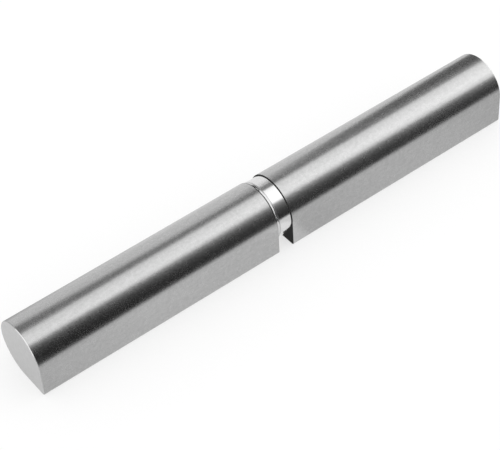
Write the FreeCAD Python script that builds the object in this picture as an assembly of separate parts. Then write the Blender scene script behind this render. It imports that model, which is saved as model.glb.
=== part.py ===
"""Weld-on lift-off hinge in square-nosed round bar, 140 mm long and 16 mm across.

Two knuckles of the same drawn profile lie end to end on one axis. The profile is a circle whose
lower front quarter is filled out to a square corner, the nose that takes the weld. A pin is
pressed into the frame knuckle, a loose ring sits on the pin, and the door knuckle slides over
the pin's free end, turns on it and lifts off it.

Units are millimetres. X runs along the hinge axis, from the frame knuckle to the door knuckle,
Z is up and -Y is the front. The origin is on the hinge axis, at the middle of the ring. The
hinge lies on the lower flat of its profile, as it does on a bench.
"""

import FreeCAD
import Part
import math
import os

Vector = FreeCAD.Vector

# Drawn profile of the two knuckles
BODY_DIAMETER = 16.0
NOSE_ROUNDING = 0.5
KNUCKLE_LENGTH = 67.9
END_CHAMFER = 0.1

# Pin, pressed into the frame knuckle and free in the door knuckle
PIN_DIAMETER = 10.0
PIN_SEAT_LENGTH = 37.0
PIN_REACH = 37.0
PIN_SEAT_CHAMFER = 0.6
PIN_LEAD_LENGTH = 2.0
PIN_LEAD_DEPTH = 1.0

# Ring between the knuckles
RING_THICKNESS = 4.0
RING_SETBACK = 0.3
RING_CHAMFER_LENGTH = 0.7
RING_CHAMFER_DEPTH = 0.3
RING_EDGE_BREAK = 0.1
RING_BORE_CHAMFER = 0.3

# Blind bores of the knuckles
BORE_MOUTH_CHAMFER = 0.5
BORE_END_SPACE = 1.0
DRILL_POINT_ANGLE = 118.0

# Fits
PIN_RUNNING_CLEARANCE = 0.05
RING_BORE_CLEARANCE = 0.1
RING_FACE_GAP = 0.1

# Worked out from the sizes above
BODY_RADIUS = BODY_DIAMETER / 2
PIN_RADIUS = PIN_DIAMETER / 2
RING_RADIUS = BODY_RADIUS - RING_SETBACK
RING_BORE_RADIUS = PIN_RADIUS + RING_BORE_CLEARANCE
DOOR_BORE_RADIUS = PIN_RADIUS + PIN_RUNNING_CLEARANCE
RING_FACE = RING_THICKNESS / 2
KNUCKLE_FACE = RING_FACE + RING_FACE_GAP
TOOL_OVERRUN = 1.0
HALF_DIAGONAL = math.sqrt(0.5)

AXIS_POINT = Vector(0, 0, 0)
AXIS = Vector(1, 0, 0)


def profile_wire(x):
    """The knuckle's outline in the plane at x: three quarters of a circle and a square nose."""
    r = BODY_RADIUS
    nose = NOSE_ROUNDING
    nose_centre = nose - r
    front_tangent = Vector(x, -r, 0)
    back_middle = Vector(x, r * HALF_DIAGONAL, r * HALF_DIAGONAL)
    bottom_tangent = Vector(x, 0, -r)
    nose_below = Vector(x, nose_centre, -r)
    nose_middle = Vector(x, nose_centre - nose * HALF_DIAGONAL, nose_centre - nose * HALF_DIAGONAL)
    nose_front = Vector(x, -r, nose_centre)
    edges = [
        Part.Arc(front_tangent, back_middle, bottom_tangent).toShape(),
        Part.LineSegment(bottom_tangent, nose_below).toShape(),
        Part.Arc(nose_below, nose_middle, nose_front).toShape(),
        Part.LineSegment(nose_front, front_tangent).toShape(),
    ]
    return Part.Wire(edges)


def end_edges(bar):
    """The edges of a bar that lie wholly in one of its two end planes."""
    ends = (bar.BoundBox.XMin, bar.BoundBox.XMax)
    found = []
    for edge in bar.Edges:
        box = edge.BoundBox
        if any(abs(box.XMin - x) < 1e-6 and abs(box.XMax - x) < 1e-6 for x in ends):
            found.append(edge)
    return found


def knuckle_bar():
    """A cut length of the profile, from x = 0 to its own length, with both ends broken."""
    bar = Part.Face(profile_wire(0)).extrude(AXIS * KNUCKLE_LENGTH)
    return bar.makeChamfer(END_CHAMFER, end_edges(bar))


def turned(outline):
    """A solid turned about the hinge axis from a half outline of (x, radius) points."""
    corners = [Vector(x, radius, 0) for x, radius in outline + outline[:1]]
    return Part.Face(Part.makePolygon(corners)).revolve(AXIS_POINT, AXIS, 360)


def drilled(radius, depth):
    """The tool for a blind bore that opens at x = 0: mouth chamfer, straight wall and drill point."""
    mouth = radius + BORE_MOUTH_CHAMFER
    point = radius / math.tan(math.radians(DRILL_POINT_ANGLE / 2))
    return turned([
        (-TOOL_OVERRUN, 0),
        (-TOOL_OVERRUN, mouth + TOOL_OVERRUN),
        (BORE_MOUTH_CHAMFER, radius),
        (depth, radius),
        (depth + point, 0),
    ])


def frame_knuckle():
    """The fixed half, on the -X side. Its bore is the pin's press seat, so it has the pin's size."""
    body = knuckle_bar().cut(drilled(PIN_RADIUS, PIN_SEAT_LENGTH + BORE_END_SPACE))
    body = body.mirror(AXIS_POINT, AXIS)
    body.translate(AXIS * -KNUCKLE_FACE)
    return body


def door_knuckle():
    """The half that turns and lifts off, on the +X side, with a running bore for the pin."""
    body = knuckle_bar().cut(drilled(DOOR_BORE_RADIUS, PIN_REACH + BORE_END_SPACE))
    body.translate(AXIS * KNUCKLE_FACE)
    return body


def pin():
    """The hinge pin, with a small chamfer at its pressed end and a long lead at its free end."""
    pressed_end = -KNUCKLE_FACE - PIN_SEAT_LENGTH
    free_end = KNUCKLE_FACE + PIN_REACH
    return turned([
        (pressed_end, 0),
        (pressed_end, PIN_RADIUS - PIN_SEAT_CHAMFER),
        (pressed_end + PIN_SEAT_CHAMFER, PIN_RADIUS),
        (free_end - PIN_LEAD_LENGTH, PIN_RADIUS),
        (free_end, PIN_RADIUS - PIN_LEAD_DEPTH),
        (free_end, 0),
    ])


def ring():
    """The loose ring that keeps the knuckles apart and carries the door knuckle's weight.

    Its outer edge has a long shallow chamfer on the frame side, and is only broken on the door side.
    """
    outer = RING_RADIUS
    inner = RING_BORE_RADIUS
    face = RING_FACE
    return turned([
        (-face, inner + RING_BORE_CHAMFER),
        (-face, outer - RING_CHAMFER_DEPTH),
        (RING_CHAMFER_LENGTH - face, outer),
        (face - RING_EDGE_BREAK, outer),
        (face, outer - RING_EDGE_BREAK),
        (face, inner + RING_BORE_CHAMFER),
        (face - RING_BORE_CHAMFER, inner),
        (RING_BORE_CHAMFER - face, inner),
    ])


def main():
    """Builds each piece and writes it as parts/NAME.step."""
    os.makedirs("parts", exist_ok=True)
    pieces = {
        "frame_knuckle": frame_knuckle(),
        "door_knuckle": door_knuckle(),
        "pin": pin(),
        "ring": ring(),
    }
    for name, shape in pieces.items():
        shape.exportStep(f"parts/{name}.step")
        box = shape.BoundBox
        print(
            f"{name}: {len(shape.Solids)} solid, valid {shape.isValid()}, {shape.Volume:.1f} mm3,"
            f" x {box.XMin:.2f} to {box.XMax:.2f}, y {box.YMin:.2f} to {box.YMax:.2f},"
            f" z {box.ZMin:.2f} to {box.ZMax:.2f}"
        )


main()
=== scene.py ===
# %% [markdown]
# A weld-on hinge in drawn stainless steel
#
# Two lengths of the same bar lie end to end on one axis, with a polished ring between them and a
# pin inside. The bar's section is a circle with one square corner, the nose that takes the weld.
# This lesson loads the engineering model as a fixed frame, models each piece again with smooth
# faces and broken edges, gives each its steel, and lights it as a studio lights bright metal.

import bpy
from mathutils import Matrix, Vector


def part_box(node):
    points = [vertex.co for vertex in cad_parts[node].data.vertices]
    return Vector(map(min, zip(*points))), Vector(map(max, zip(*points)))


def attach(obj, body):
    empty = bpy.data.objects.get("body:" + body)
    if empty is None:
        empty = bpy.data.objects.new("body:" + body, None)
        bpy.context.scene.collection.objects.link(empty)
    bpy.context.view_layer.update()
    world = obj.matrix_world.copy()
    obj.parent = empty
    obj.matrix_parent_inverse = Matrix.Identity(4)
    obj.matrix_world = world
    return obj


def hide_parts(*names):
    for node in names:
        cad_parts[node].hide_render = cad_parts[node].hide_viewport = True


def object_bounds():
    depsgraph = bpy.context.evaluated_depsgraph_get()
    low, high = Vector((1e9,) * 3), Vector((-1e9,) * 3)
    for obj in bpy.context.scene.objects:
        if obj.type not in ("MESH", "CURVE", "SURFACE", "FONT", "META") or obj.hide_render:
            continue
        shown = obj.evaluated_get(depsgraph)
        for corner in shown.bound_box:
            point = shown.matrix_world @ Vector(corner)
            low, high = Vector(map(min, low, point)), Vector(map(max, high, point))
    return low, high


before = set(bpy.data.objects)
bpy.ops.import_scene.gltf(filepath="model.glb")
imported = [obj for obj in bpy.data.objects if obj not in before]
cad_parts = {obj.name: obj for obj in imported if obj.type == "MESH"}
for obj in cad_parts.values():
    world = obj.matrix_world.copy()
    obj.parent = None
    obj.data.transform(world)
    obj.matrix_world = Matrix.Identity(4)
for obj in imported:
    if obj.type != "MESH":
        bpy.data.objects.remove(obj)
cad_low, cad_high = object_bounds()

# %% [markdown]
# Everything is in metres, so a millimetre gets a name. The places of the pieces come from the
# frame: each node's box gives the planes where its piece starts and ends.

# %% Units and places
import bmesh
import bpy
import math
from mathutils import Quaternion, Vector

MM = 0.001
EPSILON = 0.001 * MM

frame_knuckle_low, frame_knuckle_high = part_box("frame_knuckle")
door_knuckle_low, door_knuckle_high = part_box("door_knuckle")
pin_low, pin_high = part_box("pin")
ring_low, ring_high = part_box("ring")

BODY_RADIUS = -door_knuckle_low.z
print(f"body radius {BODY_RADIUS / MM:.2f} mm")

# %% [markdown]
# Operators act on whatever is selected, and the frame leaves its nodes selected. So each step
# starts by clearing the selection. In edit mode, faces and edges are picked by a test on their
# place, which is what a hand with a mouse does by eye.

# %% Selection and finishing helpers
SHARP_ANGLE = math.radians(40)
ROUNDED_ANGLE = math.radians(15)
ROUNDING_STEPS = 3


def deselect_all():
    bpy.ops.object.select_all(action="DESELECT")


def make_active(piece):
    deselect_all()
    piece.select_set(True)
    bpy.context.view_layer.objects.active = piece


def pick(kind, wanted):
    """Selects the vertices, edges or faces of the mesh being edited that pass the test."""
    bpy.ops.mesh.select_mode(type=kind)
    bpy.ops.mesh.select_all(action="DESELECT")
    data = bpy.context.edit_object.data
    mesh = bmesh.from_edit_mesh(data)
    parts = {"VERT": mesh.verts, "EDGE": mesh.edges, "FACE": mesh.faces}[kind]
    found = [part for part in parts if wanted(part)]
    for part in found:
        part.select_set(True)
    mesh.select_flush_mode()
    bmesh.update_edit_mesh(data)


def near(a, b):
    return abs(a - b) < EPSILON


def apply_modifier(piece, kind, **settings):
    make_active(piece)
    modifier = piece.modifiers.new(kind.lower(), kind)
    for name, value in settings.items():
        setattr(modifier, name, value)
    bpy.ops.object.modifier_apply(modifier=modifier.name)


def round_edges(piece, width):
    apply_modifier(piece, "BEVEL", width=width, segments=ROUNDING_STEPS, limit_method="ANGLE",
                   angle_limit=ROUNDED_ANGLE)


def finish_shading(piece):
    """Smooth faces, edges sharp past SHARP_ANGLE, and normals that follow the largest faces."""
    make_active(piece)
    bpy.ops.object.shade_smooth_by_angle(angle=SHARP_ANGLE)
    apply_modifier(piece, "WEIGHTED_NORMAL", keep_sharp=True)
    print(f"{piece.name}: {len(piece.data.polygons)} faces")


# %% [markdown]
# Shader helpers. A material is a small graph of nodes. These three functions make the graph
# short to write: one makes an empty material with a Principled shader, one adds a node with its
# settings, and one starts a node group, the way to share an effect between materials.

# %% Shader helpers
def add_node(tree, kind, place, **settings):
    node = tree.nodes.new(kind)
    node.location = place
    for name, value in settings.items():
        setattr(node, name, value)
    return node


def new_material(name):
    material = bpy.data.materials.new(name)
    material.use_nodes = True
    tree = material.node_tree
    tree.nodes.clear()
    output = add_node(tree, "ShaderNodeOutputMaterial", (600, 0))
    shader = add_node(tree, "ShaderNodeBsdfPrincipled", (300, 0))
    tree.links.new(shader.outputs["BSDF"], output.inputs["Surface"])
    return material, tree, shader


def new_group(name, inputs, outputs):
    """A shader node group. inputs: name to (type, default). outputs: name to type."""
    tree = bpy.data.node_groups.new(name, "ShaderNodeTree")
    for label, (kind, default) in inputs.items():
        socket = tree.interface.new_socket(label, in_out="INPUT", socket_type=kind)
        socket.default_value = default
    for label, kind in outputs.items():
        tree.interface.new_socket(label, in_out="OUTPUT", socket_type=kind)
    start = add_node(tree, "NodeGroupInput", (-900, 0))
    end = add_node(tree, "NodeGroupOutput", (600, 0))
    return tree, start, end


# %% [markdown]
# Steel is never one flat grey. Seen close, this bar has a fine mottle, like very faint orange
# peel, from the pickling that leaves it satin, and under it the thin lines that drawing leaves
# along the bar or turning leaves round a piece. One group makes both. The mottle is noise, and
# the lines are noise stretched by a scale: a small number along the lines, large ones across.

# %% The steel grain group
MOTTLE_SCALE = 1050.0


def steel_grain_group():
    floats = "NodeSocketFloat"
    tree, start, end = new_group(
        "steel_grain",
        {
            "Stretch": ("NodeSocketVector", (1.0, 1.0, 1.0)),
            "Colour": ("NodeSocketColor", (0.6, 0.6, 0.6, 1.0)),
            "Shade": (floats, 0.3),
            "Roughness": (floats, 0.25),
            "Roughness Change": (floats, 0.1),
            "Line Share": (floats, 0.3),
        },
        {"Colour": "NodeSocketColor", "Roughness": floats, "Height": floats},
    )
    place = add_node(tree, "ShaderNodeTexCoord", (-1100, -300))
    stretched = add_node(tree, "ShaderNodeVectorMath", (-700, -200), operation="MULTIPLY")
    tree.links.new(place.outputs["Object"], stretched.inputs[0])
    tree.links.new(start.outputs["Stretch"], stretched.inputs[1])
    lines = add_node(tree, "ShaderNodeTexNoise", (-500, -200))
    lines.inputs["Scale"].default_value = 1.0
    lines.inputs["Detail"].default_value = 4.0
    lines.inputs["Roughness"].default_value = 0.6
    tree.links.new(stretched.outputs["Vector"], lines.inputs["Vector"])
    mottle = add_node(tree, "ShaderNodeTexNoise", (-500, -500))
    mottle.inputs["Scale"].default_value = MOTTLE_SCALE
    mottle.inputs["Detail"].default_value = 2.0
    mottle.inputs["Roughness"].default_value = 0.7
    tree.links.new(place.outputs["Object"], mottle.inputs["Vector"])
    both = add_node(tree, "ShaderNodeMix", (-300, -300), data_type="FLOAT")
    tree.links.new(start.outputs["Line Share"], both.inputs["Factor"])
    tree.links.new(mottle.outputs["Fac"], both.inputs[2])
    tree.links.new(lines.outputs["Fac"], both.inputs[3])
    centred = add_node(tree, "ShaderNodeMath", (-100, -200), operation="SUBTRACT")
    centred.inputs[1].default_value = 0.5
    tree.links.new(both.outputs[0], centred.inputs[0])
    gain = add_node(tree, "ShaderNodeMath", (0, 100), operation="MULTIPLY_ADD")
    gain.inputs[2].default_value = 1.0
    tree.links.new(centred.outputs[0], gain.inputs[0])
    tree.links.new(start.outputs["Shade"], gain.inputs[1])
    tinted = add_node(tree, "ShaderNodeVectorMath", (200, 100), operation="SCALE")
    tree.links.new(start.outputs["Colour"], tinted.inputs[0])
    tree.links.new(gain.outputs[0], tinted.inputs["Scale"])
    rough = add_node(tree, "ShaderNodeMath", (200, -100), operation="MULTIPLY_ADD")
    tree.links.new(centred.outputs[0], rough.inputs[0])
    tree.links.new(start.outputs["Roughness Change"], rough.inputs[1])
    tree.links.new(start.outputs["Roughness"], rough.inputs[2])
    tree.links.new(tinted.outputs["Vector"], end.inputs["Colour"])
    tree.links.new(rough.outputs[0], end.inputs["Roughness"])
    tree.links.new(both.outputs[0], end.inputs["Height"])
    return tree


STEEL_GRAIN = steel_grain_group()

# %% [markdown]
# The hinge shows seven steels. The flank is as drawn, satin with lines along the bar. The sawn
# ends are cut steel. Their outer edge is filed, and on its upper front part it is a brighter
# steel, which is partly the filing and partly a painted highlight. The ring is polished, with a
# satin band beside its chamfer. The pin and the bores are turned. The fine edges beside the ring
# are a painted shade: a near-black steel that stands for the shade in the gap. Its specular tint
# is turned down as well, so that it stays dark when seen at a low angle.

# %% The steels
PAINTED_GAP_SHADE_TINT = (0.3, 0.3, 0.3, 1.0)


def steel(name, grey, roughness, stretch, shade=0.3, roughness_change=0.1, relief=0.008 * MM, lines=0.3):
    """A steel whose lines run where stretch is small. lines is their share beside the mottle."""
    material, tree, shader = new_material(name)
    shader.inputs["Metallic"].default_value = 1.0
    grain = add_node(tree, "ShaderNodeGroup", (-300, 0), node_tree=STEEL_GRAIN)
    grain.inputs["Stretch"].default_value = stretch
    grain.inputs["Colour"].default_value = (grey, grey, grey, 1.0)
    grain.inputs["Shade"].default_value = shade
    grain.inputs["Roughness"].default_value = roughness
    grain.inputs["Roughness Change"].default_value = roughness_change
    grain.inputs["Line Share"].default_value = lines
    bump = add_node(tree, "ShaderNodeBump", (0, -300))
    bump.inputs["Distance"].default_value = relief
    bump.inputs["Strength"].default_value = 1.0
    tree.links.new(grain.outputs["Colour"], shader.inputs["Base Color"])
    tree.links.new(grain.outputs["Roughness"], shader.inputs["Roughness"])
    tree.links.new(grain.outputs["Height"], bump.inputs["Height"])
    tree.links.new(bump.outputs["Normal"], shader.inputs["Normal"])
    return material


drawn_steel = steel("drawn_steel", 0.58, 0.26, (150.0, 3000.0, 3000.0), shade=0.45, relief=0.009 * MM)
cut_steel = steel("cut_steel", 0.50, 0.34, (3000.0, 1500.0, 400.0), shade=0.5, lines=0.5)
# This near-black steel is a painted shade: it stands for the shade in the gap beside the ring.
painted_gap_shade_steel = steel("painted_gap_shade_steel", 0.07, 0.40, (3000.0, 500.0, 3000.0))
painted_gap_shade_steel.node_tree.nodes["Principled BSDF"].inputs["Specular Tint"].default_value = PAINTED_GAP_SHADE_TINT
turned_steel = steel("turned_steel", 0.62, 0.22, (5000.0, 120.0, 120.0))
polished_steel = steel("polished_steel", 0.87, 0.17, (4000.0, 60.0, 60.0), shade=0.1,
                       roughness_change=0.05, relief=0.001 * MM)
satin_steel = steel("satin_steel", 0.62, 0.36, (4000.0, 60.0, 60.0))
# This brighter steel is partly a filed edge and partly a painted highlight, used only on the upper front.
filed_edge_and_highlight = steel("filed_edge_and_highlight", 0.85, 0.24, (500.0, 500.0, 500.0))

# %% [markdown]
# Turned pieces: the pin, the ring and the drill that bores the knuckles are all made as on a
# lathe. One vertex is extruded from point to point along half the piece's outline, and the
# outline is spun about the hinge axis.

# %% Turning a piece from its half outline
GIRTH_STEPS = 160
FACING_X = (0, math.pi / 2, 0)


def turned_piece(name, outline, closed):
    """outline: (x, radius) points. closed joins the last to the first, as a ring's outline does."""
    points = [(x, 0.0, radius) for x, radius in outline]
    if closed:
        points.append(points[0])
    deselect_all()
    bpy.ops.mesh.primitive_plane_add(size=MM, location=(0, 0, 0))
    piece = bpy.context.object
    piece.name = name
    piece.data.name = name
    bpy.ops.object.mode_set(mode="EDIT")
    bpy.ops.mesh.select_mode(type="VERT")
    bpy.ops.mesh.select_all(action="SELECT")
    bpy.ops.mesh.merge(type="CENTER")
    bpy.ops.transform.translate(value=points[0])
    for before, after in zip(points, points[1:]):
        step = tuple(b - a for a, b in zip(before, after))
        bpy.ops.mesh.extrude_region_move(TRANSFORM_OT_translate={"value": step})
    bpy.ops.mesh.select_all(action="SELECT")
    bpy.ops.mesh.spin(steps=GIRTH_STEPS, angle=math.tau, center=(0, 0, 0), axis=(1, 0, 0))
    bpy.ops.mesh.select_all(action="SELECT")
    bpy.ops.mesh.remove_doubles(threshold=EPSILON)
    bpy.ops.mesh.normals_make_consistent(inside=False)
    bpy.ops.object.mode_set(mode="OBJECT")
    return piece


# %% [markdown]
# The knuckle is a length of drawn bar. Its section starts as a circle. The lower front quarter is
# taken out and drawn again as two straight sides that meet in a square corner, and the corner
# is rounded a little. The section is then filled and extruded to the knuckle's length, and both
# ends are broken with a fine bevel, as a file does after the saw. The bevel beside the ring has
# its own width on each knuckle, because it sets how wide the dark line of the gap looks.

# %% The drawn bar
NOSE_ROUNDING = 0.7 * MM
NOSE_STEPS = 5
OUTER_BREAK = 0.2 * MM


def drawn_bar(name, start_x, end_x, inner_break):
    """A length of the bar, drawn from the end beside the ring to the hinge's own end."""
    deselect_all()
    bpy.ops.mesh.primitive_circle_add(
        vertices=GIRTH_STEPS, radius=BODY_RADIUS, location=(start_x, 0, 0), rotation=FACING_X)
    piece = bpy.context.object
    piece.name = name
    piece.data.name = name
    bpy.ops.object.transform_apply()
    bpy.ops.object.mode_set(mode="EDIT")
    pick("VERT", lambda v: v.co.y < -EPSILON and v.co.z < -EPSILON)
    bpy.ops.mesh.delete(type="VERT")
    pick("VERT", lambda v: near(v.co.y, -BODY_RADIUS))
    bpy.ops.mesh.extrude_region_move(TRANSFORM_OT_translate={"value": (0, 0, -BODY_RADIUS)})
    pick("VERT", lambda v: near(v.co.z, -BODY_RADIUS))
    bpy.ops.mesh.edge_face_add()
    pick("VERT", lambda v: near(v.co.y, -BODY_RADIUS) and near(v.co.z, -BODY_RADIUS))
    bpy.ops.mesh.bevel(affect="VERTICES", offset=NOSE_ROUNDING, segments=NOSE_STEPS)
    bpy.ops.mesh.select_all(action="SELECT")
    bpy.ops.mesh.edge_face_add()
    bpy.ops.mesh.extrude_region_move(TRANSFORM_OT_translate={"value": (end_x - start_x, 0, 0)})
    bpy.ops.mesh.select_all(action="SELECT")
    bpy.ops.mesh.normals_make_consistent(inside=False)
    for x, width in ((start_x, inner_break), (end_x, OUTER_BREAK)):
        pick("EDGE", lambda edge: all(near(vertex.co.x, x) for vertex in edge.verts))
        bpy.ops.mesh.bevel(affect="EDGES", offset=width, segments=ROUNDING_STEPS)
    bpy.ops.object.mode_set(mode="OBJECT")
    return piece


# %% [markdown]
# Four of the steels meet on one bar. Each face is told by the way it faces and by its place: the
# flank, the two cut ends, the upper front part of the outer end's edge, which is brighter filed
# steel and partly a painted highlight, and the edge beside the ring, which from a certain height
# up is a painted shade of near-black steel. How far a face looks along the bar is the X of its
# normal: nothing on the flank, all of it on an end, and some on an edge.

# %% The steels of a bar
FLANK_LOOK = 0.05
END_LOOK = 0.99
BRIGHT_EDGE_FOOT = 4.5 * MM
FLANK, CUT, BRIGHT, PAINTED_GAP_SHADE = range(4)


def assign_steels(piece, inner_x, cut_edge_top):
    for finish in (drawn_steel, cut_steel, filed_edge_and_highlight, painted_gap_shade_steel):
        piece.data.materials.append(finish)
    for face in piece.data.polygons:
        place = face.center
        along = abs(face.normal.x)
        edge = along < END_LOOK
        if along < FLANK_LOOK:
            face.material_index = FLANK
        elif abs(place.x - inner_x) < MM:
            # Above cut_edge_top the edge beside the ring gets the near-black steel, a painted gap shade.
            face.material_index = PAINTED_GAP_SHADE if edge and place.z > cut_edge_top else CUT
        else:
            # The upper front of the outer end's edge gets the brighter steel: filing and a painted
            # highlight.
            face.material_index = BRIGHT if edge and place.z > BRIGHT_EDGE_FOOT and place.y < 0 else CUT


# %% [markdown]
# Each knuckle is bored from its inner end for the pin. The drill is a turned piece with a mouth
# chamfer, a straight wall and a 118 degree point, and a Boolean modifier takes it away from
# the bar. The new faces keep the drill's own material, which saves picking them afterwards.

# %% Boring a knuckle
BORE_MOUTH_CHAMFER = 0.5 * MM
BORE_END_SPACE = 1.0 * MM
DRILL_POINT_ANGLE = math.radians(118)
OVERRUN = 1.0 * MM


def bore(piece, mouth_x, depth, radius, inward):
    """inward is +1 or -1, the way along X that the drill goes."""
    mouth = radius + BORE_MOUTH_CHAMFER
    point = radius / math.tan(DRILL_POINT_ANGLE / 2)
    outline = [
        (-OVERRUN, 0.0),
        (-OVERRUN, mouth + OVERRUN),
        (BORE_MOUTH_CHAMFER, radius),
        (depth, radius),
        (depth + point, 0.0),
    ]
    drill = turned_piece("drill", [(mouth_x + inward * x, r) for x, r in outline], closed=False)
    drill.data.materials.append(turned_steel)
    apply_modifier(piece, "BOOLEAN", operation="DIFFERENCE", object=drill, solver="EXACT",
                   material_mode="TRANSFER")
    bpy.data.objects.remove(drill)


# %% [markdown]
# The frame knuckle is welded to the post. Its bore has the pin's own radius, because the pin is
# pressed in.

# %% The frame knuckle
PIN_RADIUS = 5.0 * MM
FRAME_INNER_BREAK = 0.3 * MM
FRAME_CUT_EDGE_TOP = 2.5 * MM

frame_inner_x = frame_knuckle_high.x
frame_knuckle = drawn_bar("frame_knuckle_bar", frame_inner_x, frame_knuckle_low.x, FRAME_INNER_BREAK)
assign_steels(frame_knuckle, frame_inner_x, FRAME_CUT_EDGE_TOP)
pin_seat_depth = frame_inner_x - pin_low.x + BORE_END_SPACE
bore(frame_knuckle, frame_inner_x, pin_seat_depth, PIN_RADIUS, inward=-1)
finish_shading(frame_knuckle)
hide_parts("frame_knuckle")
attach(frame_knuckle, "frame")

# %% [markdown]
# The door knuckle is the same bar, bored a twentieth of a millimetre wider so that it turns and
# lifts off.

# %% The door knuckle
DOOR_BORE_RADIUS = 5.05 * MM
DOOR_INNER_BREAK = 0.06 * MM
DOOR_CUT_EDGE_TOP = 0.0

door_inner_x = door_knuckle_low.x
door_knuckle = drawn_bar("door_knuckle_bar", door_inner_x, door_knuckle_high.x, DOOR_INNER_BREAK)
assign_steels(door_knuckle, door_inner_x, DOOR_CUT_EDGE_TOP)
pin_reach_depth = pin_high.x - door_inner_x + BORE_END_SPACE
bore(door_knuckle, door_inner_x, pin_reach_depth, DOOR_BORE_RADIUS, inward=1)
finish_shading(door_knuckle)
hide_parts("door_knuckle")
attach(door_knuckle, "door")

# %% [markdown]
# The pin is a turned rod with a small chamfer at the pressed end and a long lead at the free
# end, which finds the bore when the door is hung.

# %% The pin
PIN_SEAT_CHAMFER = 0.6 * MM
PIN_LEAD_LENGTH = 2.0 * MM
PIN_LEAD_DEPTH = 1.0 * MM
PIN_EDGE_ROUNDING = 0.15 * MM

pin = turned_piece("pin_rod", [
    (pin_low.x, 0.0),
    (pin_low.x, PIN_RADIUS - PIN_SEAT_CHAMFER),
    (pin_low.x + PIN_SEAT_CHAMFER, PIN_RADIUS),
    (pin_high.x - PIN_LEAD_LENGTH, PIN_RADIUS),
    (pin_high.x, PIN_RADIUS - PIN_LEAD_DEPTH),
    (pin_high.x, 0.0),
], closed=False)
pin.data.materials.append(turned_steel)
round_edges(pin, PIN_EDGE_ROUNDING)
finish_shading(pin)
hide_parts("pin")
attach(pin, "frame")

# %% [markdown]
# The ring is turned and polished. On the frame side its outer edge has a small turned chamfer,
# which leans away from the cards and mirrors the white room, so that it shows as a thin white
# line. Beside it the polishing cloth has left a narrow satin band. On the door side the edge is
# only broken. The outline that is spun has a point at each of these places, so that the faces
# between two points can take their own steel.

# %% The ring
RING_RADIUS = ring_high.z
RING_BORE_RADIUS = 5.1 * MM
RING_BORE_CHAMFER = 0.3 * MM
RING_CHAMFER_LENGTH = 0.42 * MM
RING_CHAMFER_DEPTH = 0.21 * MM
RING_SATIN_WIDTH = 0.3 * MM
RING_EDGE_BREAK = 0.06 * MM
RING_EDGE_ROUNDING = 0.04 * MM
POLISHED, SATIN = range(2)

satin_start_x = ring_low.x + RING_CHAMFER_LENGTH
satin_middle_x = satin_start_x + RING_SATIN_WIDTH / 2
ring = turned_piece("spacer_ring", [
    (ring_low.x, RING_BORE_RADIUS + RING_BORE_CHAMFER),
    (ring_low.x, RING_RADIUS - RING_CHAMFER_DEPTH),
    (satin_start_x, RING_RADIUS),
    (satin_start_x + RING_SATIN_WIDTH, RING_RADIUS),
    (ring_high.x - RING_EDGE_BREAK, RING_RADIUS),
    (ring_high.x, RING_RADIUS - RING_EDGE_BREAK),
    (ring_high.x, RING_BORE_RADIUS + RING_BORE_CHAMFER),
    (ring_high.x - RING_BORE_CHAMFER, RING_BORE_RADIUS),
    (ring_low.x + RING_BORE_CHAMFER, RING_BORE_RADIUS),
], closed=True)
ring.data.materials.append(polished_steel)
ring.data.materials.append(satin_steel)
for face in ring.data.polygons:
    face.material_index = SATIN if near(face.center.x, satin_middle_x) else POLISHED
round_edges(ring, RING_EDGE_ROUNDING)
finish_shading(ring)
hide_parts("ring")
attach(ring, "ring")

# %% [markdown]
# The camera looks down on the hinge from the front left, with a long lens and a slight roll. Its
# place is written as an aim, two angles and a distance, which are easier to change by eye than
# a location and three rotations.

# %% The camera
CAMERA_AIM = Vector((-6.25 * MM, -2.15 * MM, 0.0))
CAMERA_AZIMUTH = math.radians(-35.06)
CAMERA_ELEVATION = math.radians(45.63)
CAMERA_DISTANCE = 412.77 * MM
CAMERA_ROLL = math.radians(-4.01)
SENSOR_WIDTH = 36.0
LENS = 124.59


def add_camera():
    level = math.cos(CAMERA_ELEVATION)
    back = Vector((
        math.sin(CAMERA_AZIMUTH) * level,
        -math.cos(CAMERA_AZIMUTH) * level,
        math.sin(CAMERA_ELEVATION),
    ))
    data = bpy.data.cameras.new("camera")
    data.sensor_width = SENSOR_WIDTH
    data.lens = LENS
    data.clip_start = 0.01
    data.clip_end = 20.0
    camera = bpy.data.objects.new("camera", data)
    bpy.context.scene.collection.objects.link(camera)
    camera.rotation_mode = "QUATERNION"
    camera.location = CAMERA_AIM + back * CAMERA_DISTANCE
    camera.rotation_quaternion = (-back).to_track_quat("-Z", "Y") @ Quaternion((0, 0, 1), CAMERA_ROLL)
    bpy.context.scene.camera = camera
    print("camera at, mm:", [round(value / MM, 1) for value in camera.location])


add_camera()

# %% [markdown]
# The floor is a sheet of white paper, wide enough to fill every view. About a third of its white
# is paint, which takes the hinge's soft shadow. The rest is a glow for the rays that look at it:
# straight from the camera, by a reflection or through glass. So the paper reads as white
# without any more light on the hinge.

# %% The floor
FLOOR_HEIGHT = door_knuckle_low.z
FLOOR_SIZE = 8.0
FLOOR_GREY = 0.36
FLOOR_GLOW = 0.64


def flat_sheet(name, x_range, y_range, z_range):
    """A rectangle that is flat across one of the three axes, the one whose range has no width."""
    ranges = (x_range, y_range, z_range)
    centre = [(low + high) / 2 for low, high in ranges]
    size = [high - low for low, high in ranges]
    across = size.index(0.0)
    turn = {0: FACING_X, 1: (math.pi / 2, 0, 0), 2: (0, 0, 0)}[across]
    deselect_all()
    bpy.ops.mesh.primitive_plane_add(size=1.0, location=centre, rotation=turn)
    sheet = bpy.context.object
    sheet.name = name
    sheet.data.name = name
    bpy.ops.object.transform_apply(location=False, rotation=True, scale=False)
    sheet.scale = [length or 1.0 for length in size]
    bpy.ops.object.transform_apply()
    return sheet


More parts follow.
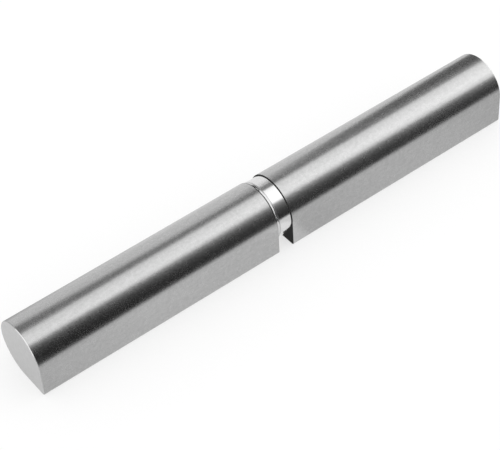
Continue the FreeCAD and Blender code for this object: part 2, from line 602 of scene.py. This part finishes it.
def white_paper():
    material, tree, shader = new_material("white_paper")
    shader.inputs["Base Color"].default_value = (FLOOR_GREY, FLOOR_GREY, FLOOR_GREY, 1.0)
    shader.inputs["Roughness"].default_value = 1.0
    shader.inputs["Specular IOR Level"].default_value = 0.0
    shader.inputs["Emission Color"].default_value = (1.0, 1.0, 1.0, 1.0)
    path = add_node(tree, "ShaderNodeLightPath", (-700, 0))
    seen = path.outputs["Is Camera Ray"]
    for row, kind in enumerate(("Is Glossy Ray", "Is Transmission Ray")):
        either = add_node(tree, "ShaderNodeMath", (-500 + 200 * row, 0), operation="ADD", use_clamp=True)
        tree.links.new(seen, either.inputs[0])
        tree.links.new(path.outputs[kind], either.inputs[1])
        seen = either.outputs[0]
    glow = add_node(tree, "ShaderNodeMath", (-100, 0), operation="MULTIPLY")
    glow.inputs[1].default_value = FLOOR_GLOW
    tree.links.new(seen, glow.inputs[0])
    tree.links.new(glow.outputs[0], shader.inputs["Emission Strength"])
    return material


floor_reach = (-FLOOR_SIZE / 2, FLOOR_SIZE / 2)
floor = flat_sheet("floor", floor_reach, floor_reach, (FLOOR_HEIGHT, FLOOR_HEIGHT))
floor.data.materials.append(white_paper())

# %% [markdown]
# Bright metal has little look of its own: it shows what stands round it. A photographer of metal
# sets up cards and a diffuser that the lens never sees, and their edges become the bands along
# the bar. Here each card glows with a grey that changes along one direction, and only
# reflections see it, so that it neither lights nor shades the floor.

# %% Card helpers
CARD_REACH = 1.0


def add_ramp(tree, value, stops, row):
    """A grey ramp over a value, scaled so that its brightest stop is 1.

    stops: (place, grey) pairs. Gives the ramp's colour socket and the brightest grey.
    """
    start, end = stops[0][0], stops[-1][0]
    brightest = max(grey for place, grey in stops)
    share = add_node(tree, "ShaderNodeMapRange", (-500, row))
    share.inputs["From Min"].default_value = start
    share.inputs["From Max"].default_value = end
    tree.links.new(value, share.inputs["Value"])
    ramp = add_node(tree, "ShaderNodeValToRGB", (-300, row))
    elements = ramp.color_ramp.elements
    for number, (place, grey) in enumerate(stops):
        element = elements[number] if number < 2 else elements.new(1.0)
        element.position = (place - start) / (end - start)
        element.color = [grey / brightest] * 3 + [1.0]
    tree.links.new(share.outputs["Result"], ramp.inputs["Fac"])
    return ramp.outputs["Color"], brightest


def graded(name, direction, stops, rise=0.0, tones=None):
    """A glow whose grey follows the place along direction, and grows by rise for each metre of X.

    stops: (place, grey) pairs, with the places in metres. tones: (x, gain) pairs, which make the
    glow weaker or stronger along the hinge.
    """
    material, tree, shader = new_material(name)
    tree.nodes.remove(shader)
    position = add_node(tree, "ShaderNodeTexCoord", (-900, 0))
    along = add_node(tree, "ShaderNodeVectorMath", (-700, 0), operation="DOT_PRODUCT")
    along.inputs[1].default_value = direction
    tree.links.new(position.outputs["Object"], along.inputs[0])
    colour, brightest = add_ramp(tree, along.outputs["Value"], stops, 0)
    axes = add_node(tree, "ShaderNodeSeparateXYZ", (-700, -200))
    tree.links.new(position.outputs["Object"], axes.inputs[0])
    if tones:
        tone, top = add_ramp(tree, axes.outputs["X"], tones, -500)
        toned = add_node(tree, "ShaderNodeVectorMath", (-100, 0), operation="SCALE")
        tree.links.new(colour, toned.inputs[0])
        tree.links.new(tone, toned.inputs["Scale"])
        colour = toned.outputs["Vector"]
        brightest *= top
    strength = add_node(tree, "ShaderNodeMath", (-300, -250), operation="MULTIPLY_ADD")
    strength.inputs[1].default_value = brightest * rise
    strength.inputs[2].default_value = brightest
    tree.links.new(axes.outputs["X"], strength.inputs[0])
    glow = add_node(tree, "ShaderNodeEmission", (100, 0))
    tree.links.new(colour, glow.inputs["Color"])
    tree.links.new(strength.outputs[0], glow.inputs["Strength"])
    tree.links.new(glow.outputs["Emission"], tree.nodes["Material Output"].inputs["Surface"])
    return material


def even(grey):
    """The stops of a card that is one grey all over."""
    return [(-1.0, grey), (1.0, grey)]


def only_mirrored(card, glow):
    """Gives a card its glow, and hides the card from all but reflections."""
    card.data.materials.append(glow)
    card.visible_camera = False
    card.visible_diffuse = False
    card.visible_shadow = False
    card.visible_transmission = False


def add_card(name, ranges, direction, stops, rise=0.0, tones=None):
    card = flat_sheet(name, *ranges)
    only_mirrored(card, graded(name + "_glow", direction, stops, rise, tones))
    print(name, "from", [low for low, high in ranges], "to", [high for low, high in ranges])
    return card


# %% [markdown]
# The front card gives the dark band between the bright top and the front flat. It is nearly
# black at the foot and fades to white at the top, so that the band's upper edge is soft. The
# grey leans a little to the right, which makes the band narrow towards the far end. Two smaller
# cards stand just before it, because the band is darkest at the hinge's two ends. The card starts
# only a little to the left of the hinge: beyond it is the white room that the ring's chamfer
# mirrors. Its left foot is pulled out, so that the chamfer's white line ends in the dark band.

# %% The front card
FRONT_Y = -0.4
FRONT_START = -0.2
FRONT_FOOT = 0.04
FRONT_LEAN = (0.56, 0, 1)
FRONT_RISE = 0.754
FRONT_STOPS = [
    (0.0, 0.012), (0.10, 0.020), (0.25, 0.041), (0.40, 0.113), (0.50, 0.212), (0.58, 0.28), (0.64, 0.893),
    (0.72, 0.946),
]
TOP_Z = 0.62

SHADE_Y = FRONT_Y + 0.005
LEFT_SHADE_X = (-0.15, 0.10)
LEFT_SHADE_TOP = 0.55
LEFT_SHADE_GAIN = 0.84
RIGHT_SHADE_X = (0.32, CARD_REACH)
RIGHT_SHADE_TOP = 0.36
RIGHT_SHADE_GAIN = 0.68


def add_front_card(name, x_range, y, top, gain):
    stops = [(place, gain * grey) for place, grey in FRONT_STOPS]
    return add_card(name, (x_range, (y, y), (FLOOR_HEIGHT, top)), FRONT_LEAN, stops, FRONT_RISE)


front_card = add_front_card("front_card", (FRONT_START, CARD_REACH), FRONT_Y, TOP_Z, 1.0)
add_front_card("front_shade_left", LEFT_SHADE_X, SHADE_Y, LEFT_SHADE_TOP, LEFT_SHADE_GAIN)
add_front_card("front_shade_right", RIGHT_SHADE_X, SHADE_Y, RIGHT_SHADE_TOP, RIGHT_SHADE_GAIN)
make_active(front_card)
bpy.ops.object.mode_set(mode="EDIT")
pick("VERT", lambda v: near(v.co.x, FRONT_START) and near(v.co.z, FLOOR_HEIGHT))
bpy.ops.transform.translate(value=(-FRONT_FOOT, 0, 0))
bpy.ops.object.mode_set(mode="OBJECT")

# %% [markdown]
# The diffuser hangs over the hinge and gives the broad bright band along its top. Towards the
# back it ends in a black edge, the thin dark line between the two bright bands. To its left hangs
# a small dark flag, where the chamfer's white line ends at the top.

# %% The diffuser
BACK_Y = 0.5
DIFFUSER_START = -0.16
DIFFUSER_LEAN = (-0.35, 1, 0)
DIFFUSER_RISE = 0.35
DIFFUSER_DARK = 0.19
DIFFUSER_STOPS = [(-0.40, 1.23), (0.079, 0.96), (0.109, DIFFUSER_DARK), (0.50, DIFFUSER_DARK)]
FLAG_X = (-0.4, DIFFUSER_START)
FLAG_Y = (0.3, BACK_Y)

diffuser_ranges = ((DIFFUSER_START, CARD_REACH), (FRONT_Y, BACK_Y), (TOP_Z, TOP_Z))
add_card("diffuser", diffuser_ranges, DIFFUSER_LEAN, DIFFUSER_STOPS, DIFFUSER_RISE)
add_card("diffuser_flag", (FLAG_X, FLAG_Y, (TOP_Z, TOP_Z)), (1, 0, 0), even(DIFFUSER_DARK))

# %% [markdown]
# At the back stand a pale panel and, behind it, a dark wall. The panel ends short of the right
# side, so the upper back of the bar turns dark towards the far end. Its right edge is bent in at
# mid height, and a pale lip lies on its top, which together give the start of the dark its slant.

# %% The back cards
BACK_START = -0.3
BACK_Z = (FLOOR_HEIGHT, TOP_Z)
PANEL_END = 0.356
PANEL_BEND = 0.062
PANEL_LEAN = (-1.13, 0, 1)
PANEL_RISE = 0.6
WALL_Y = BACK_Y + 0.01
WALL_GREY = 0.11
PANEL_STOPS = [(0.32, 0.745), (0.35, WALL_GREY)]
LIP_X = (0.235, 0.37)
LIP_Y = (0.47, BACK_Y)
LIP_Z = TOP_Z - 0.001
LIP_GREY = 0.85

panel_ranges = ((BACK_START, PANEL_END), (BACK_Y, BACK_Y), BACK_Z)
back_panel = add_card("back_panel", panel_ranges, PANEL_LEAN, PANEL_STOPS, PANEL_RISE)
make_active(back_panel)
bpy.ops.object.mode_set(mode="EDIT")
bpy.ops.mesh.subdivide()
pick("VERT", lambda v: near(v.co.x, PANEL_END) and FLOOR_HEIGHT + EPSILON < v.co.z < TOP_Z - EPSILON)
bpy.ops.transform.translate(value=(-PANEL_BEND, 0, 0))
bpy.ops.object.mode_set(mode="OBJECT")
add_card("back_wall", ((BACK_START, CARD_REACH), (WALL_Y, WALL_Y), BACK_Z), (0, 0, 1), even(WALL_GREY))
add_card("back_lip", (LIP_X, LIP_Y, (LIP_Z, LIP_Z)), (1, 0, 0), even(LIP_GREY))

# %% [markdown]
# On the floor lie two cards, before the hinge and behind it. They stand for the paper as the
# metal mirrors it, greyer than the glowing white and in part shaded by the hinge, so they tone the
# front flat and the foot of the back down from the white of the paper. Nearest the hinge the front
# one is a little darker, a painted shadow of the hinge. The front one turns black a few
# centimetres away from the hinge, and that edge is the sharp lower edge of the dark band. Its glow
# also changes a little along the hinge: it dims towards both ends and at the start of the door
# knuckle, and is brightest where the ring mirrors it.

# %% The floor cards
CARD_LIFT = 0.1 * MM
CARD_X = (cad_low[0], CARD_REACH)
CARD_Z = (FLOOR_HEIGHT + CARD_LIFT, FLOOR_HEIGHT + CARD_LIFT)

HINGE_FRONT = door_knuckle_low.y - 0.2 * MM
FRONT_FLOOR_LEAN = (0.115, 1, 0)
FRONT_FLOOR_RISE = -0.6
# The last stop, darker nearest the hinge, is a painted shadow of the hinge on the paper.
FRONT_FLOOR_STOPS = [(-0.0423, 0.018), (-0.0383, 0.735), (-0.020, 0.735), (-0.012, 0.69)]
FRONT_FLOOR_TONES = [
    (-0.066, 0.86), (-0.035, 1.0), (0.0015, 1.0), (0.003, 1.14), (0.006, 1.14), (0.008, 0.89),
    (0.034, 1.0), (0.055, 1.0), (0.070, 0.94),
]

BACK_FOOT = 3.0 * MM
BACK_FLOOR_STOPS = [(-0.066, 0.42), (-0.046, 0.68), (-0.01, 0.87), (0.06, 0.87), (0.09, 0.80), (0.5, 0.86)]

add_card("front_floor_card", (CARD_X, (FRONT_Y, HINGE_FRONT), CARD_Z), FRONT_FLOOR_LEAN, FRONT_FLOOR_STOPS,
         FRONT_FLOOR_RISE, FRONT_FLOOR_TONES)
add_card("back_floor_card", (CARD_X, (BACK_FOOT, BACK_Y), CARD_Z), (1, 0, 0), BACK_FLOOR_STOPS)

# %% [markdown]
# The space between the ring and the door knuckle is dark, because hardly any light finds its way
# in. The glow of the paper doesn't know that, and would shine in the door knuckle's inner end. So
# a dark card stands a hair away from that end. It is cut like the bar's section, as a disc and a
# square, and its back is clear, so that only this end mirrors it. When the door knuckle is
# lifted off, the card stays behind and the end shows its steel.

# %% The gap card
GAP_GREY = 0.045
GAP_CARD_X = (ring_high.x + door_inner_x) / 2
GAP_DISC_X = GAP_CARD_X - 0.01 * MM
GAP_DISC_RADIUS = BODY_RADIUS - 0.05 * MM


def clear_from_behind(material):
    """Makes a glow see-through where its back is seen."""
    tree = material.node_tree
    geometry = add_node(tree, "ShaderNodeNewGeometry", (100, 250))
    clear = add_node(tree, "ShaderNodeBsdfTransparent", (100, -150))
    side = add_node(tree, "ShaderNodeMixShader", (350, 0))
    tree.links.new(geometry.outputs["Backfacing"], side.inputs["Fac"])
    tree.links.new(tree.nodes["Emission"].outputs["Emission"], side.inputs[1])
    tree.links.new(clear.outputs["BSDF"], side.inputs[2])
    tree.links.new(side.outputs["Shader"], tree.nodes["Material Output"].inputs["Surface"])


square_ranges = ((GAP_CARD_X, GAP_CARD_X), (-BODY_RADIUS, 0), (-BODY_RADIUS, 0))
gap_square = add_card("gap_square", square_ranges, (0, 0, 1), even(GAP_GREY))
gap_glow = gap_square.data.materials[0]
clear_from_behind(gap_glow)
deselect_all()
bpy.ops.mesh.primitive_circle_add(
    vertices=GIRTH_STEPS, radius=GAP_DISC_RADIUS, fill_type="NGON", location=(GAP_DISC_X, 0, 0),
    rotation=FACING_X)
gap_disc = bpy.context.object
gap_disc.name = "gap_disc"
gap_disc.data.name = "gap_disc"
bpy.ops.object.transform_apply()
only_mirrored(gap_disc, gap_glow)
print("gap card faces:", [round(value) for value in gap_disc.data.polygons[0].normal])

# %% [markdown]
# One large soft lamp lights the paper from the right, for a faint shadow, and a white world
# fills in. The lamp itself isn't mirrored, because the diffuser stands for it.

# %% The light
LAMP_PLACE = Vector((0.30, -0.13, 0.62))
LAMP_SIZE = (0.7, 0.5)
LAMP_RADIANCE = 0.35


def add_world():
    world = bpy.data.worlds.new("studio")
    world.use_nodes = True
    background = world.node_tree.nodes["Background"]
    background.inputs["Color"].default_value = (1.0, 1.0, 1.0, 1.0)
    background.inputs["Strength"].default_value = 1.0
    bpy.context.scene.world = world


def add_softbox():
    data = bpy.data.lights.new("softbox", "AREA")
    data.shape = "RECTANGLE"
    data.size, data.size_y = LAMP_SIZE
    data.energy = LAMP_RADIANCE * math.pi * LAMP_SIZE[0] * LAMP_SIZE[1]
    lamp = bpy.data.objects.new("softbox", data)
    bpy.context.scene.collection.objects.link(lamp)
    lamp.location = LAMP_PLACE
    lamp.rotation_mode = "QUATERNION"
    lamp.rotation_quaternion = (-LAMP_PLACE).to_track_quat("-Z", "Y")
    lamp.visible_camera = False
    lamp.visible_glossy = False
    print(f"softbox: {data.energy:.2f} W")


add_world()
add_softbox()
bpy.context.scene.view_settings.view_transform = "Standard"
